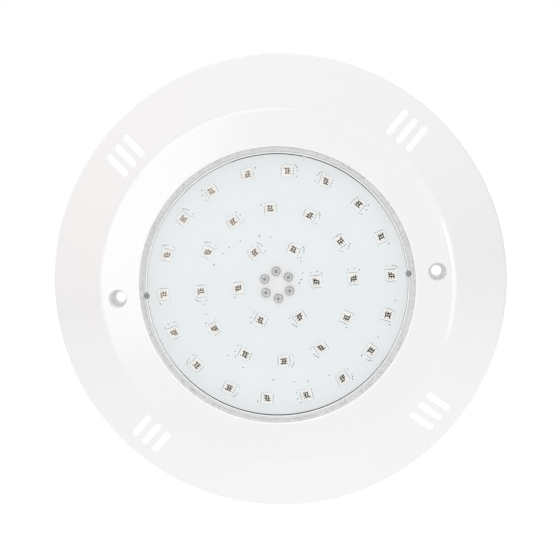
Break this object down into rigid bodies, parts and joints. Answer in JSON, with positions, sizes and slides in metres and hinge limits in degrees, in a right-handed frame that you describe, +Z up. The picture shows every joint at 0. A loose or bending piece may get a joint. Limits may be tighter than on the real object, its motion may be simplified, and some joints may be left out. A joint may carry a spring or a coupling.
{
  "type": "underwater pool light",
  "caption": "Round surface-mounted underwater LED light: sealed lamp behind a clear window, in a conical white trim ring with side fixing holes and water slots.",
  "frame": {"origin": "midway between the two fixing holes, on the back faces of their well floors", "axes": "+Y along the lamp axis into the pool wall (the window faces -Y), +X to the right through the fixing holes, +Z up"},
  "size_m": [0.29, 0.14, 0.29],
  "materials": {
    "white_abs_ring": "gloss",
    "insert_brass": "satin",
    "clear_window": "gloss",
    "grey_silicone": "matte",
    "white_abs_housing": "satin",
    "stainless_steel": "satin",
    "white_solder_mask": "satin",
    "led_body": "matte",
    "led_clear_resin": "gloss",
    "pin_grey": "satin",
    "thermal_pad_grey": "matte",
    "sink_aluminium": "satin",
    "green_solder_mask": "gloss",
    "black_epoxy": "matte",
    "capacitor_sleeve": "gloss",
    "ferrite": "matte",
    "enamelled_copper": "gloss",
    "terminal_green": "matte",
    "connector_cream": "matte",
    "red_pvc": "satin",
    "potting_resin": "gloss",
    "blue_pvc": "satin",
    "tinned_copper": "satin",
    "cable_rubber": "matte",
    "plated_brass": "satin",
    "black_rubber": "matte",
    "white_nylon": "matte"
  },
  "bodies": {
    "trim": {"face_ring": "white_abs_ring", "thread_inserts": "insert_brass"},
    "lamp": {"lens": "clear_window", "lens_seal": "grey_silicone", "rear_housing": "white_abs_housing", "trim_screws": "stainless_steel", "led_board": "white_solder_mask", "led_packages": "led_body", "led_resin": "led_clear_resin", "board_pins": "pin_grey", "board_screws": "stainless_steel", "thermal_pad": "thermal_pad_grey", "heat_sink": "sink_aluminium", "heat_sink_screws": "stainless_steel", "driver_board": "green_solder_mask", "board_standoffs": "insert_brass", "driver_screws": "stainless_steel", "bridge_rectifier": "black_epoxy", "filter_capacitors": "capacitor_sleeve", "choke_core": "ferrite", "choke_winding": "enamelled_copper", "mosfets": "black_epoxy", "control_chip": "black_epoxy", "terminal_block": "terminal_green", "terminal_screws": "stainless_steel", "led_connector": "connector_cream", "led_wires": "red_pvc", "potting_plug": "potting_resin", "cable_cores": "blue_pvc", "core_ferrules": "tinned_copper", "cable_sheath": "cable_rubber", "gland_body": "plated_brass", "gland_o_ring": "black_rubber", "gland_locknut": "plated_brass", "gland_bush": "black_rubber"},
    "gland_washer": {"gland_slip_washer": "white_nylon"},
    "gland_cap": {"gland_nut": "plated_brass"}
  },
  "joints": [
    {"name": "lamp_withdrawal", "type": "slide", "parent": "trim", "child": "lamp", "axis": [0, 1, 0], "range_m": [0, 0.06]},
    {"name": "gland_advance", "type": "slide", "parent": "lamp", "child": "gland_washer", "axis": [0, 1, 0], "range_m": [0, 0.0045]},
    {"name": "gland_nut_turn", "type": "hinge", "parent": "gland_washer", "child": "gland_cap", "pos_m": [0, 0, 0], "axis": [0, 1, 0], "range_deg": [0, 1080]}
  ],
  "couplings": [
    {"joint": "gland_nut_turn", "follows": "gland_advance", "rad_per_m": 4188.8}
  ]
}
